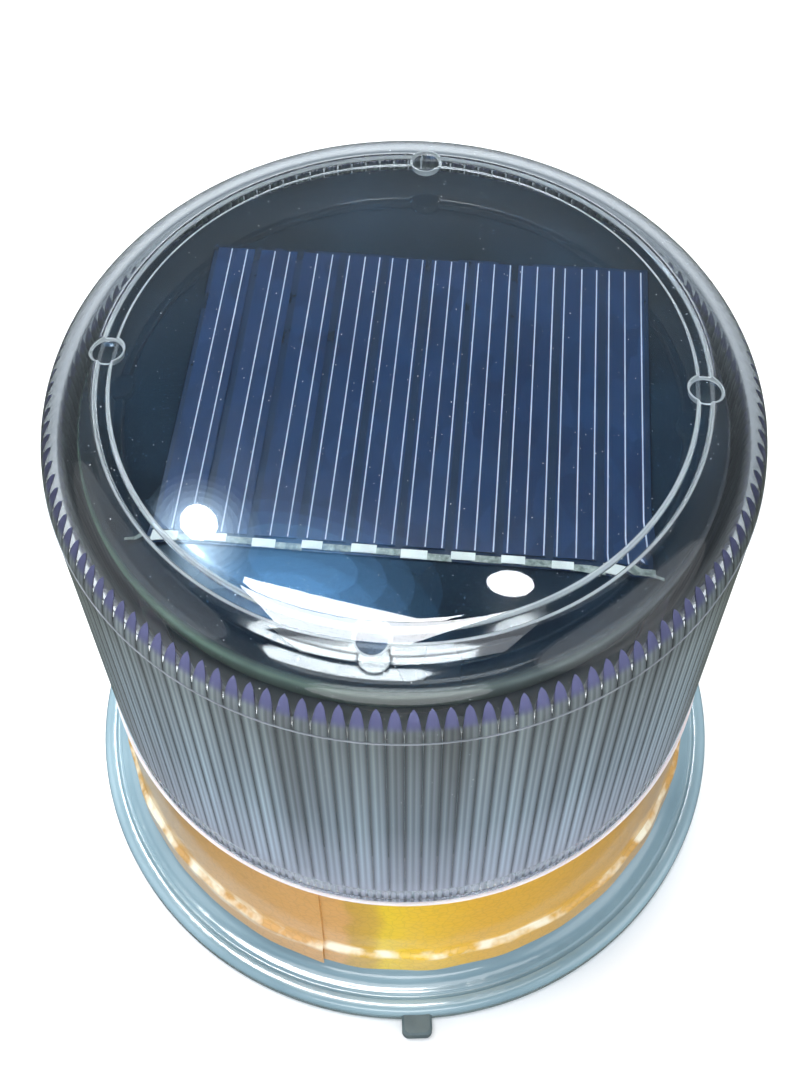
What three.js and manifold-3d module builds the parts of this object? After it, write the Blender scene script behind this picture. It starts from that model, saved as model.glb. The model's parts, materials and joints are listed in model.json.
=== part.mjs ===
// Solar barricade warning light: a clear ribbed lens over a solar panel and an LED tower, on a flanged base
// housing that holds the battery, the controller and the switch. Millimetres, +Z up. The origin is the centre
// of the underside that the light stands on, and -Y is the front.
import * as THREE from "three";
import { mergeVertices } from "three/addons/utils/BufferGeometryUtils.js";
import Module from "manifold-3d";

const wasm = await Module();
wasm.setup();

// Fineness and fits.
const ROUND = 40; // sides of a large circle
const MEDIUM_ROUND = 24;
const CUP_ROUND = 16;
const SMALL_ROUND = 8; // sides of a screw, an insert or a boss
const ROUNDING_STEPS = 3; // steps of a small rounded edge
const FILLET_STEPS = 5; // steps of the lens shoulder
const MERGE_DISTANCE = 1e-4;
const REST = 0.05; // gap between flat faces that rest on each other
const FIT = 0.3; // gap between a round piece and its hole
const PAST = 1; // how far a cut runs past a face, or a joined piece runs into the other
const SKIN = 1; // left over the end of a blind screw hole

// Base housing: a flange, a tapered wall, and a deck that closes the top.
const FLANGE_RADIUS = 90.6;
const FLANGE_TOP = 6.5;
const FLANGE_ROUNDING = 2.5;
const FLANGE_CHAMFER = 1;
const GROOVE_RADIUS = 85.8; // a shallow groove in the flange's top
const GROOVE_WIDTH = 1.2;
const GROOVE_DEPTH = 0.6;
const WALL_FILLET = 5;
const WALL_FOOT_RADIUS = 79.5;
const WALL_TOP_RADIUS = 76.7;
const BASE_TOP = 62;
const WALL = 3;
const DECK_TOP = 60;
const DECK_UNDERSIDE = 56;
const DECK_HOLE_RADIUS = 6; // the leads pass through it
const LENS_SEAT_INNER_RADIUS = 66;
const FLOOR_TOP = 10;
const LUG_WIDTH = 8;
const LUG_REACH = 95.5;
const LUG_ROOT = 85.6;
const LUG_HEIGHT = 5;
const LUG_ROUNDING = 1.8;
const LUG_TURN = 7.2; // degrees from the front towards +X

// Service opening in the underside, and its cover.
const OPENING_RADIUS = 50;
const REBATE_RADIUS = 60.6;
const COVER_THICKNESS = 4;
const GASKET = { inner: 51, outer: 54, thickness: 1 };
const LEDGE_Z = COVER_THICKNESS + GASKET.thickness + 2 * REST;
const COVER_SCREWS = 6;
const COVER_SCREW_CIRCLE = 57;
const COUNTERBORE_DEPTH = 2.3;
const COVER_SCREW_LENGTH = 5.2;

// Lens, its seal, and the screws that hold it from inside the base.
const SEAL = { inner: 73.5, proud: 0.4, thickness: 1.3 };
const LENS_BOTTOM = BASE_TOP + SEAL.thickness + 2 * REST;
const LENS_FOOT_RADIUS = 77.6;
const LENS_SHOULDER_RADIUS = 75;
const LENS_TOP = 166.3;
const LENS_WALL = 3.2;
const SHOULDER_FILLET = 17;
const LENS_FLANGE_INNER_RADIUS = 66.5;
const LENS_FLANGE_THICKNESS = 5;
const BEAD = { radius: 60, width: 2.4, height: 1 }; // a ring moulded under the top
const PADS = { count: 4, radius: 3.25, height: 1.8 }; // bosses on that ring
const LENS_SCREWS = 4;
const LENS_SCREW_CIRCLE = 70;
const LENS_SCREW_LENGTH = 10.8;

// Reflective tape round the wall.
const TAPE_BOTTOM = 15;
const TAPE_TOP = 61.8;
const TAPE_THICKNESS = 0.6;

// Tower with its LED boards.
const TOWER_SIDES = 6;
const TOWER_RADIUS = 26; // to the corners
const TOWER_BORE_RADIUS = 22; // to the corners
const TOWER_BOTTOM = DECK_TOP + REST;
const TOWER_TOP = 148.2;
const TOWER_FOOT_RADIUS = 34;
const TOWER_FOOT_THICKNESS = 6;
const TOWER_SCREWS = 3;
const TOWER_SCREW_CIRCLE = 30;
const TOWER_SCREW_LENGTH = 8;
const LED_BOARD = { width: 18, height: 60, thickness: 1.6, middle: 108 };
const LED_RADIUS = 4;
const LED_BODY_HEIGHT = 2.5;

// Solar panel in its tray.
const TRAY_BOTTOM = 148.5;
const TRAY_TOP = 156.6;
const TRAY_RADIUS = 67;
const TRAY_ROUNDING = 5;
const TRAY_HOLE_RADIUS = 4;
const SPIGOT = { inner: 15, outer: 18.6, bottom: 142 };
const PANEL = { width: 94.6, depth: 76.9, thickness: 1.6, x: 2.7, y: -1.9 };
const PANEL_BOTTOM = 155.25;
const CELLS = 10;
const CELL = { width: 8, depth: 73.4, thickness: 0.35, y: -1.2 };
const CELL_PITCH = 9.4;
const RIBBON = { length: 101, width: 2, thickness: 0.3, x: 1.4, y: -39.1 };

// Service side: battery, switch, controller, vent and fixing inserts.
const BATTERY = { radius: 9.2, length: 65, spread: 9.8, count: 2 };
const HOLDER = { width: 76, depth: 44, height: 13, floor: 2, wall: 2 };
const SWITCH_Y = -36;
const POCKET_RADIUS = 9;
const POCKET_TOP = 9;
const POCKET_WALL = 3;
const BUTTON = { radius: 6, bottom: 2.5, top: 6.5, stem: 1.9, clip: 2.8, clipThickness: 1 };
const BUTTON_TRAVEL = 1.5;
const SWITCH_BODY = { size: 10, height: 4 };
const SWITCH_BOARD = { width: 30, depth: 14, thickness: 1.6 };
const SWITCH_POST = { x: 11.8, radius: 2 };
const VENT_Y = 36;
const VENT = { radius: 4, bottom: 0.4, flange: 6, flangeHeight: 2 };
const INSERTS = 3;
const INSERT_CIRCLE = 69;
const INSERT = { radius: 4.4, bore: 3.1, bottom: 0.3, top: 8.3 };
const CONTROLLER = { width: 68, depth: 34, thickness: 1.6, bottom: 50, y: 40 };
const CONTROLLER_POST = { x: 29, radius: 3 };
const CONTROLLER_PARTS = [
  { width: 12, depth: 12, height: 2, x: -14, y: 40 },
  { width: 8, depth: 8, height: 5, x: 12, y: 46 },
  { width: 10, depth: 6, height: 6, x: 0, y: 28 },
];
const LEAD_RADIUS = 1.25;

const radians = THREE.MathUtils.degToRad;
const light = new THREE.Group();

function finish(color, roughness, metalness = 0) {
  return new THREE.MeshStandardMaterial({ color, roughness, metalness });
}

const CLEAR_LENS = finish(0xe4ebee, 0.08);
CLEAR_LENS.transparent = true;
CLEAR_LENS.opacity = 0.35;

const FINISHES = {
  lens: CLEAR_LENS,
  housing: finish(0x9fb4bc, 0.25),
  cover: finish(0x6f7a80, 0.5),
  tape: finish(0xf0b429, 0.35),
  silicone: finish(0xf2ecea, 0.5),
  tray: finish(0x0e1418, 0.15),
  substrate: finish(0x10161c, 0.3),
  cell: finish(0x22386b, 0.2),
  ribbon: finish(0xc9ccd0, 0.3, 1),
  tower: finish(0xe6e8e8, 0.4),
  ledBoard: finish(0xf2f2ee, 0.4),
  led: finish(0xf4d85a, 0.2),
  circuit: finish(0x1d6b3a, 0.4),
  battery: finish(0x2a6fb0, 0.35),
  holder: finish(0x2b2e30, 0.6),
  steel: finish(0xc0c4c8, 0.3, 1),
  brass: finish(0xc8a24a, 0.3, 1),
  rubber: finish(0x1c1e20, 0.7),
  button: finish(0xb3261e, 0.5),
  wire: finish(0xb02020, 0.5),
};

function addPiece(name, geometry, material) {
  const mesh = new THREE.Mesh(geometry, material);
  mesh.name = name;
  light.add(mesh);
  return mesh;
}

// Points [radius, z] on an arc in the profile plane, between two angles in degrees.
function arc(radius, z, size, from, to, steps) {
  return Array.from({ length: steps + 1 }, (_, i) => {
    const angle = radians(from + ((to - from) * i) / steps);
    return [radius + size * Math.cos(angle), z + size * Math.sin(angle)];
  });
}

// A closed [radius, z] outline clear of the axis, its outer side listed upwards, turned round Z.
function turned(outline, sides = ROUND) {
  const points = [...outline, outline[0]].map(([radius, z]) => new THREE.Vector2(radius, z));
  return new THREE.LatheGeometry(points, sides).rotateX(Math.PI / 2);
}

function ring(inner, outer, bottom, top, sides = ROUND) {
  const outline = [
    [inner, bottom],
    [outer, bottom],
    [outer, top],
    [inner, top],
  ];
  return turned(outline, sides);
}

function disc(radius, bottom, top, x = 0, y = 0, sides = ROUND) {
  return new THREE.CylinderGeometry(radius, radius, top - bottom, sides)
    .rotateX(Math.PI / 2)
    .translate(x, y, (bottom + top) / 2);
}

function block(width, depth, bottom, top, x = 0, y = 0) {
  const middle = (bottom + top) / 2;
  return new THREE.BoxGeometry(width, depth, top - bottom).translate(x, y, middle);
}

function solid(geometry) {
  const bare = geometry.clone();
  bare.deleteAttribute("normal");
  bare.deleteAttribute("uv");
  const merged = mergeVertices(bare, MERGE_DISTANCE);
  const vertProperties = new Float32Array(merged.attributes.position.array);
  const triVerts = new Uint32Array(merged.index.array);
  return new wasm.Manifold(new wasm.Mesh({ numProp: 3, vertProperties, triVerts }));
}

// Joins the added geometries to the first one, then cuts the others out.
function shaped(first, added, cut) {
  let body = solid(first);
  for (const geometry of added) body = body.add(solid(geometry));
  for (const geometry of cut) body = body.subtract(solid(geometry));
  const { vertProperties, triVerts } = body.getMesh();
  const geometry = new THREE.BufferGeometry();
  geometry.setAttribute("position", new THREE.BufferAttribute(vertProperties, 3));
  geometry.setIndex(new THREE.BufferAttribute(triVerts, 1));
  geometry.computeVertexNormals();
  return geometry;
}

// [x, y] of each of count places on a circle, the first at the given angle in degrees.
function places(count, radius, first) {
  return Array.from({ length: count }, (_, i) => {
    const angle = radians(first + (360 * i) / count);
    return [radius * Math.cos(angle), radius * Math.sin(angle)];
  });
}

const COVER_SCREW_PLACES = places(COVER_SCREWS, COVER_SCREW_CIRCLE, 0);
const LENS_SCREW_PLACES = places(LENS_SCREWS, LENS_SCREW_CIRCLE, 45);
const TOWER_SCREW_PLACES = places(TOWER_SCREWS, TOWER_SCREW_CIRCLE, 30);
const INSERT_PLACES = places(INSERTS, INSERT_CIRCLE, 90);
const PAD_PLACES = places(PADS.count, BEAD.radius, 0);

// A pan head's edge is flat up to edgeHeight, and its face has the radius crown.
const SCREW = { shank: 1.4, head: 2.7, headHeight: 2, edgeHeight: 1.2, crown: 2.2 };

const screwHoles = (spots, bottom, top) =>
  spots.map(([x, y]) => disc(SCREW.shank + FIT, bottom, top, x, y, SMALL_ROUND));

// Pan-head screws that point up, with the underside of the head at z.
function addScrews(name, spots, z, length) {
  const { shank, head, headHeight, edgeHeight, crown } = SCREW;
  spots.forEach(([x, y], i) => {
    const outline = [
      [0, z - headHeight],
      [crown, z - headHeight],
      [head, z - edgeHeight],
      [head, z],
      [shank, z],
      [shank, z + length],
      [0, z + length],
    ];
    const points = outline.map(([radius, height]) => new THREE.Vector2(radius, height));
    const geometry = new THREE.LatheGeometry(points, SMALL_ROUND).rotateX(Math.PI / 2);
    addPiece(`${name}_${i + 1}`, geometry.translate(x, y, 0), FINISHES.steel);
  });
}

// Radius of the wall's outside at a height.
function wallRadius(z) {
  const foot = FLANGE_TOP + WALL_FILLET;
  const share = (z - foot) / (BASE_TOP - foot);
  return WALL_FOOT_RADIUS + share * (WALL_TOP_RADIUS - WALL_FOOT_RADIUS);
}

function frontLug() {
  const outline = new THREE.Shape();
  const half = LUG_WIDTH / 2;
  outline.moveTo(-half, -LUG_ROOT);
  outline.lineTo(-half, -(LUG_REACH - LUG_ROUNDING));
  outline.absarc(-half + LUG_ROUNDING, -(LUG_REACH - LUG_ROUNDING), LUG_ROUNDING, Math.PI, 1.5 * Math.PI);
  outline.absarc(half - LUG_ROUNDING, -(LUG_REACH - LUG_ROUNDING), LUG_ROUNDING, 1.5 * Math.PI, 2 * Math.PI);
  outline.lineTo(half, -LUG_ROOT);
  const options = { depth: LUG_HEIGHT, bevelEnabled: false, curveSegments: ROUNDING_STEPS };
  return new THREE.ExtrudeGeometry(outline, options).rotateZ(radians(LUG_TURN));
}

function addBaseHousing() {
  const rounding = FLANGE_ROUNDING;
  const outline = [
    [REBATE_RADIUS, 0],
    [FLANGE_RADIUS - FLANGE_CHAMFER, 0],
    [FLANGE_RADIUS, FLANGE_CHAMFER],
    ...arc(FLANGE_RADIUS - rounding, FLANGE_TOP - rounding, rounding, 0, 90, ROUNDING_STEPS),
    [GROOVE_RADIUS + GROOVE_WIDTH / 2, FLANGE_TOP],
    [GROOVE_RADIUS + GROOVE_WIDTH / 2, FLANGE_TOP - GROOVE_DEPTH],
    [GROOVE_RADIUS - GROOVE_WIDTH / 2, FLANGE_TOP - GROOVE_DEPTH],
    [GROOVE_RADIUS - GROOVE_WIDTH / 2, FLANGE_TOP],
    ...arc(WALL_FOOT_RADIUS + WALL_FILLET, FLANGE_TOP + WALL_FILLET, WALL_FILLET, 270, 180, ROUNDING_STEPS),
    [WALL_TOP_RADIUS, BASE_TOP],
    [LENS_SEAT_INNER_RADIUS, BASE_TOP],
    [LENS_SEAT_INNER_RADIUS, DECK_TOP],
    [DECK_HOLE_RADIUS, DECK_TOP],
    [DECK_HOLE_RADIUS, DECK_UNDERSIDE],
    [wallRadius(DECK_UNDERSIDE) - WALL, DECK_UNDERSIDE],
    [wallRadius(FLOOR_TOP) - WALL, FLOOR_TOP],
    [OPENING_RADIUS, FLOOR_TOP],
    [OPENING_RADIUS, LEDGE_Z],
    [REBATE_RADIUS, LEDGE_Z],
  ];
  const postBottom = CONTROLLER.bottom + CONTROLLER.thickness + REST;
  const posts = [-1, 1].map((side) =>
    disc(CONTROLLER_POST.radius, postBottom, DECK_TOP, side * CONTROLLER_POST.x, CONTROLLER.y, SMALL_ROUND),
  );
  const insertHoles = INSERT_PLACES.map(([x, y]) =>
    disc(INSERT.radius + FIT, -PAST, INSERT.top + FIT, x, y, SMALL_ROUND),
  );
  const cuts = [
    ...insertHoles,
    ...screwHoles(COVER_SCREW_PLACES, LEDGE_Z - PAST, FLOOR_TOP - SKIN),
    ...screwHoles(TOWER_SCREW_PLACES, DECK_UNDERSIDE - PAST, DECK_TOP + PAST),
    ...screwHoles(LENS_SCREW_PLACES, DECK_UNDERSIDE - PAST, BASE_TOP + PAST),
  ];
  addPiece("base_housing", shaped(turned(outline), [frontLug(), ...posts], cuts), FINISHES.housing);
}

function addReflectiveTape() {
  const inner = (z) => wallRadius(z) + FIT;
  const outline = [
    [inner(TAPE_BOTTOM), TAPE_BOTTOM],
    [inner(TAPE_BOTTOM) + TAPE_THICKNESS, TAPE_BOTTOM],
    [inner(TAPE_TOP) + TAPE_THICKNESS, TAPE_TOP],
    [inner(TAPE_TOP), TAPE_TOP],
  ];
  addPiece("reflective_tape", turned(outline), FINISHES.tape);
}

function addLens() {
  const filletRadius = LENS_SHOULDER_RADIUS - SHOULDER_FILLET;
  const filletZ = LENS_TOP - SHOULDER_FILLET;
  const ceiling = LENS_TOP - LENS_WALL;
  const flangeTop = LENS_BOTTOM + LENS_FLANGE_THICKNESS;
  const outline = [
    [LENS_FLANGE_INNER_RADIUS, LENS_BOTTOM],
    [LENS_FOOT_RADIUS, LENS_BOTTOM],
    ...arc(filletRadius, filletZ, SHOULDER_FILLET, 0, 90, FILLET_STEPS),
    [0, LENS_TOP],
  ];
  const hollow = [
    [0, ceiling],
    [BEAD.radius - BEAD.width / 2, ceiling],
    [BEAD.radius - BEAD.width / 4, ceiling - BEAD.height],
    [BEAD.radius + BEAD.width / 4, ceiling - BEAD.height],
    ...arc(filletRadius, filletZ, SHOULDER_FILLET - LENS_WALL, 75, 0, FILLET_STEPS - 1),
    [LENS_FOOT_RADIUS - LENS_WALL, flangeTop],
    [LENS_FLANGE_INNER_RADIUS, flangeTop],
    [LENS_FLANGE_INNER_RADIUS, LENS_BOTTOM],
  ];
  const points = [...hollow, ...outline.slice(1)].map(([radius, z]) => new THREE.Vector2(radius, z));
  const shell = new THREE.LatheGeometry(points, ROUND).rotateX(Math.PI / 2);
  const pads = PAD_PLACES.map(([x, y]) =>
    disc(PADS.radius, ceiling - PADS.height, ceiling + PAST, x, y, SMALL_ROUND),
  );
  const cuts = screwHoles(LENS_SCREW_PLACES, LENS_BOTTOM - PAST, flangeTop - SKIN);
  addPiece("lens", shaped(shell, pads, cuts), FINISHES.lens);
}

function addLensSeal() {
  const bottom = BASE_TOP + REST;
  const geometry = ring(SEAL.inner, WALL_TOP_RADIUS + SEAL.proud, bottom, bottom + SEAL.thickness);
  addPiece("lens_seal", geometry, FINISHES.silicone);
}

function addSolarTray() {
  const outline = [
    [TRAY_HOLE_RADIUS, TRAY_BOTTOM],
    [TRAY_RADIUS, TRAY_BOTTOM],
    ...arc(TRAY_RADIUS - TRAY_ROUNDING, TRAY_TOP - TRAY_ROUNDING, TRAY_ROUNDING, 0, 90, ROUNDING_STEPS),
    [TRAY_HOLE_RADIUS, TRAY_TOP],
  ];
  const spigot = ring(SPIGOT.inner, SPIGOT.outer, SPIGOT.bottom, TRAY_BOTTOM + PAST, MEDIUM_ROUND);
  const pocketBottom = PANEL_BOTTOM - REST;
  const { width, depth, x, y } = PANEL;
  const pocket = block(width + 2 * FIT, depth + 2 * FIT, pocketBottom, TRAY_TOP + PAST, x, y);
  addPiece("solar_tray", shaped(turned(outline), [spigot], [pocket]), FINISHES.tray);
}

function addSolarPanel() {
  const top = PANEL_BOTTOM + PANEL.thickness;
  const board = block(PANEL.width, PANEL.depth, PANEL_BOTTOM, top, PANEL.x, PANEL.y);
  addPiece("solar_panel", board, FINISHES.substrate);
  const bottom = top + REST;
  for (let i = 0; i < CELLS; i += 1) {
    const x = PANEL.x + (i - (CELLS - 1) / 2) * CELL_PITCH;
    const strip = block(CELL.width, CELL.depth, bottom, bottom + CELL.thickness, x, CELL.y);
    addPiece(`solar_cell_${i + 1}`, strip, FINISHES.cell);
  }
  const { length, width, thickness, x, y } = RIBBON;
  addPiece("front_ribbon", block(length, width, bottom, bottom + thickness, x, y), FINISHES.ribbon);
}

// The tower's column and its bore, turned so that one flat faces the front.
function towerPrism(radius, bottom, top) {
  return disc(radius, bottom, top, 0, 0, TOWER_SIDES).rotateZ(Math.PI / TOWER_SIDES);
}

function addTower() {
  const column = towerPrism(TOWER_RADIUS, TOWER_BOTTOM, TOWER_TOP);
  const footTop = TOWER_BOTTOM + TOWER_FOOT_THICKNESS;
  const foot = disc(TOWER_FOOT_RADIUS, TOWER_BOTTOM, footTop);
  const bore = towerPrism(TOWER_BORE_RADIUS, TOWER_BOTTOM - PAST, TOWER_TOP + PAST);
  const cuts = [bore, ...screwHoles(TOWER_SCREW_PLACES, TOWER_BOTTOM - PAST, footTop - SKIN)];
  addPiece("led_tower", shaped(column, [foot], cuts), FINISHES.tower);
}

// A board with one LED on each face of the tower.
function addLedBoards() {
  const faceDistance = TOWER_RADIUS * Math.cos(Math.PI / TOWER_SIDES);
  const { width, height, thickness, middle } = LED_BOARD;
  for (let i = 0; i < TOWER_SIDES; i += 1) {
    const turn = radians(360 / TOWER_SIDES) * i;
    const boardAt = faceDistance + FIT + thickness / 2;
    const board = new THREE.BoxGeometry(width, thickness, height).translate(0, -boardAt, middle);
    addPiece(`led_board_${i + 1}`, board.rotateZ(turn), FINISHES.ledBoard);
    const dome = [[0, 0], [LED_RADIUS, 0], ...arc(0, LED_BODY_HEIGHT, LED_RADIUS, 0, 90, 2)];
    dome[dome.length - 1][0] = 0;
    const points = dome.map(([radius, z]) => new THREE.Vector2(radius, z));
    const led = new THREE.LatheGeometry(points, SMALL_ROUND).rotateX(Math.PI);
    led.translate(0, -(boardAt + thickness / 2 + FIT), middle);
    addPiece(`led_${i + 1}`, led.rotateZ(turn), FINISHES.led);
  }
}

function addBottomCover() {
  const cupRadius = POCKET_RADIUS + POCKET_WALL;
  const cupTop = POCKET_TOP + POCKET_WALL;
  const plate = disc(REBATE_RADIUS - FIT, 0, COVER_THICKNESS);
  const cup = disc(cupRadius, COVER_THICKNESS - PAST, cupTop, 0, SWITCH_Y, CUP_ROUND);
  const postTop = cupTop + BUTTON_TRAVEL * 2 + SWITCH_BODY.height + REST;
  const posts = [-1, 1].map((side) =>
    disc(SWITCH_POST.radius, COVER_THICKNESS - PAST, postTop, side * SWITCH_POST.x, SWITCH_Y, SMALL_ROUND),
  );
  const cuts = [
    disc(POCKET_RADIUS, -PAST, POCKET_TOP, 0, SWITCH_Y, CUP_ROUND),
    disc(BUTTON.stem + FIT, POCKET_TOP - PAST, cupTop + PAST, 0, SWITCH_Y, SMALL_ROUND),
    disc(VENT.radius + FIT, -PAST, COVER_THICKNESS + PAST, 0, VENT_Y, SMALL_ROUND),
    ...screwHoles(COVER_SCREW_PLACES, -PAST, COVER_THICKNESS + PAST),
    ...COVER_SCREW_PLACES.map(([x, y]) =>
      disc(SCREW.head + FIT, -PAST, COUNTERBORE_DEPTH, x, y, SMALL_ROUND)),
  ];
  addPiece("bottom_cover", shaped(plate, [cup, ...posts], cuts), FINISHES.cover);
  const gasketBottom = COVER_THICKNESS + REST;
  const gasket = ring(GASKET.inner, GASKET.outer, gasketBottom, gasketBottom + GASKET.thickness);
  addPiece("cover_gasket", gasket, FINISHES.rubber);
}

// The button hangs in its pocket by the clip above the pocket's ceiling, and pushes up on the switch.
function addPowerSwitch() {
  const ceilingTop = POCKET_TOP + POCKET_WALL;
  const clipTop = ceilingTop + REST + BUTTON.clipThickness;
  const cap = disc(BUTTON.radius, BUTTON.bottom, BUTTON.top, 0, SWITCH_Y, CUP_ROUND);
  const stem = disc(BUTTON.stem, BUTTON.top - PAST, clipTop, 0, SWITCH_Y, SMALL_ROUND);
  const clip = disc(BUTTON.clip, ceilingTop + REST, clipTop, 0, SWITCH_Y, SMALL_ROUND);
  addPiece("power_button", shaped(cap, [stem, clip], []), FINISHES.button);
  const bodyBottom = ceilingTop + BUTTON_TRAVEL * 2;
  const bodyTop = bodyBottom + SWITCH_BODY.height;
  const body = block(SWITCH_BODY.size, SWITCH_BODY.size, bodyBottom, bodyTop, 0, SWITCH_Y);
  addPiece("switch_body", body, FINISHES.rubber);
  const boardBottom = bodyTop + 2 * REST;
  const board = block(
    SWITCH_BOARD.width,
    SWITCH_BOARD.depth,
    boardBottom,
    boardBottom + SWITCH_BOARD.thickness,
    0,
    SWITCH_Y,
  );
  addPiece("switch_board", board, FINISHES.circuit);
}

function addBattery() {
  const bottom = COVER_THICKNESS + REST;
  const { width, depth, height, floor, wall } = HOLDER;
  const outside = block(width, depth, bottom, bottom + height);
  const inside = block(width - 2 * wall, depth - 2 * wall, bottom + floor, bottom + height + PAST);
  addPiece("battery_holder", shaped(outside, [], [inside]), FINISHES.holder);
  for (let i = 0; i < BATTERY.count; i += 1) {
    const y = (2 * i - 1) * BATTERY.spread;
    const z = bottom + floor + FIT + BATTERY.radius;
    const cell = new THREE.CylinderGeometry(BATTERY.radius, BATTERY.radius, BATTERY.length, MEDIUM_ROUND);
    addPiece(`battery_${i + 1}`, cell.rotateZ(Math.PI / 2).translate(0, y, z), FINISHES.battery);
  }
}

function addVentPlug() {
  const flangeBottom = COVER_THICKNESS + REST;
  const stem = disc(VENT.radius, VENT.bottom, flangeBottom + PAST, 0, VENT_Y, SMALL_ROUND);
  const flange = disc(VENT.flange, flangeBottom, flangeBottom + VENT.flangeHeight, 0, VENT_Y, CUP_ROUND);
  addPiece("vent_plug", shaped(stem, [flange], []), FINISHES.rubber);
}

function addInserts() {
  INSERT_PLACES.forEach(([x, y], i) => {
    const { radius, bore, bottom, top } = INSERT;
    const geometry = ring(bore, radius, bottom, top, SMALL_ROUND).translate(x, y, 0);
    addPiece(`mounting_insert_${i + 1}`, geometry, FINISHES.brass);
  });
}

function addController() {
  const { width, depth, thickness, bottom, y } = CONTROLLER;
  const board = block(width, depth, bottom, bottom + thickness, 0, y);
  const parts = CONTROLLER_PARTS.map((part) =>
    block(part.width, part.depth, bottom - part.height, bottom + PAST, part.x, part.y),
  );
  addPiece("controller_board", shaped(board, parts, []), FINISHES.circuit);
}

// A round lead along a smooth curve through the points.
function addLead(name, points, steps) {
  const route = new THREE.CatmullRomCurve3(points.map(([x, y, z]) => new THREE.Vector3(x, y, z)));
  const section = new THREE.Shape().absarc(0, 0, LEAD_RADIUS, 0, 2 * Math.PI);
  const options = { steps, curveSegments: 4, extrudePath: route };
  addPiece(name, new THREE.ExtrudeGeometry(section, options), FINISHES.wire);
}

addBaseHousing();
addBottomCover();
addReflectiveTape();
addLensSeal();
addLens();
addSolarTray();
addSolarPanel();
addTower();
addLedBoards();
addController();
addBattery();
addPowerSwitch();
addVentPlug();
addInserts();
addScrews("cover_screw", COVER_SCREW_PLACES, COUNTERBORE_DEPTH - REST, COVER_SCREW_LENGTH);
addScrews("tower_screw", TOWER_SCREW_PLACES, DECK_UNDERSIDE - REST, TOWER_SCREW_LENGTH);
addScrews("lens_screw", LENS_SCREW_PLACES, DECK_UNDERSIDE - REST, LENS_SCREW_LENGTH);
addLead(
  "solar_lead",
  [
    [0, 0, PANEL_BOTTOM - FIT],
    [0, 0, 120],
    [0, 0, 62],
    [0, 2, 54],
    [0, 9, 48],
    [0, 22.4, 46],
  ],
  18,
);
addLead(
  "battery_lead",
  [
    [HOLDER.width / 2 + 1.7, 0, 10],
    [HOLDER.width / 2 + 5, 3, 24],
    [HOLDER.width / 2 + 2, 14, 40],
    [31, 20, 47],
    [30, 27, 48.3],
  ],
  10,
);

export default light;
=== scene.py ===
"""Looks of the solar barricade warning light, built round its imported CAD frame. Lengths are in millimetres
until they reach a mesh, and angles are in degrees from the front (-Y) towards +X."""
import json
import math
import random

import bpy
from mathutils import Matrix, Vector


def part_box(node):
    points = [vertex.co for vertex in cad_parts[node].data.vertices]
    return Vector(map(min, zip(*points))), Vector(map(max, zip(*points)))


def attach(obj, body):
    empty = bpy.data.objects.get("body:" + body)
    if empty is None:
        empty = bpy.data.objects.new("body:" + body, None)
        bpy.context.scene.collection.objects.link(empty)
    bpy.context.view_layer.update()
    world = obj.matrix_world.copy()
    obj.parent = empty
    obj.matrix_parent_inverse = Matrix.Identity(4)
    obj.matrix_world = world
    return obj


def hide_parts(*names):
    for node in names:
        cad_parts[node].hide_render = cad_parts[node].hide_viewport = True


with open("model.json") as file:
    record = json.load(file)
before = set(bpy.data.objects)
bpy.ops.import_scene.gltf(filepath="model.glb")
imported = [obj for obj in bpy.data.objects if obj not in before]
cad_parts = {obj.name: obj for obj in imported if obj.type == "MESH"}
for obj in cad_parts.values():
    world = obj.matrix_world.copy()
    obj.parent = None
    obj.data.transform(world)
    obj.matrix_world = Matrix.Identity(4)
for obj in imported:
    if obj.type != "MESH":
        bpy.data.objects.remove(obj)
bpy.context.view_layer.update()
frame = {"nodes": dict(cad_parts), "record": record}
scene = bpy.context.scene
scene.view_settings.view_transform = "Standard"
MM = 0.001
SHARP = 35


def millimetres(node):
    """The two corners of a CAD node's box."""
    low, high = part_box(node)
    return low / MM, high / MM


# Sizes read from the frame.
lens_low, lens_high = millimetres("lens")
_, base_high = millimetres("base_housing")
tape_low, tape_high = millimetres("reflective_tape")
tray_low, tray_high = millimetres("solar_tray")
panel_low, panel_high = millimetres("solar_panel")
seal_low, seal_high = millimetres("lens_seal")

# Lens.
LENS_TOP = lens_high.z
LENS_BOTTOM = lens_low.z
LENS_FOOT_RADIUS = lens_high.x
LENS_SHOULDER_RADIUS = LENS_FOOT_RADIUS - 2.6
LENS_WALL = 3.2
LENS_CEILING = LENS_TOP - LENS_WALL
LENS_EDGE = 0.6
LENS_INNER_EDGE = 0.2
LENS_SIDES = 288
LENS_WALL_ROWS = (90, 120)
LENS_FLAT_ROW = 30
SHOULDER_FILLET = 17.0
FILLET_MIDDLE = LENS_SHOULDER_RADIUS - SHOULDER_FILLET
FILLET_Z = LENS_TOP - SHOULDER_FILLET
LENS_FLANGE_INNER = 66.5
LENS_FLANGE_HEIGHT = 5.0
BEAD_RADIUS = 60.0
BEAD_WIDTH = 2.6
BEAD_HEIGHT = 1.2
PAD_RADIUS = 3.25
PAD_HEIGHT = 1.8
PAD_EDGE = 0.35
PARTING_Z = 150.5
PARTING_HALF = 0.08
PARTING_REACH = 75.06
PARTING_EMBED = 0.5

# Ribs, and the scallops under them.
RIBS = 135
RIB_PITCH = 360 / RIBS
RIB_DEPTH = 1.3
RIB_SHARE = 0.96
RIB_BOTTOM = LENS_BOTTOM + LENS_FLANGE_HEIGHT + 0.5
RIB_SHOULDER = FILLET_Z - 1
RIB_TIP = FILLET_Z + 7.0
EMBED = 0.2
SCALLOPS = 2 * RIBS
SCALLOP_RELIEF = 0.7
SCALLOP_HALF = 0.46  # Of the distance from one to the next.
SCALLOP_ARCH_START = 0.45  # Of the height, as is the arch itself.
SCALLOP_ARCH = 0.42

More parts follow.
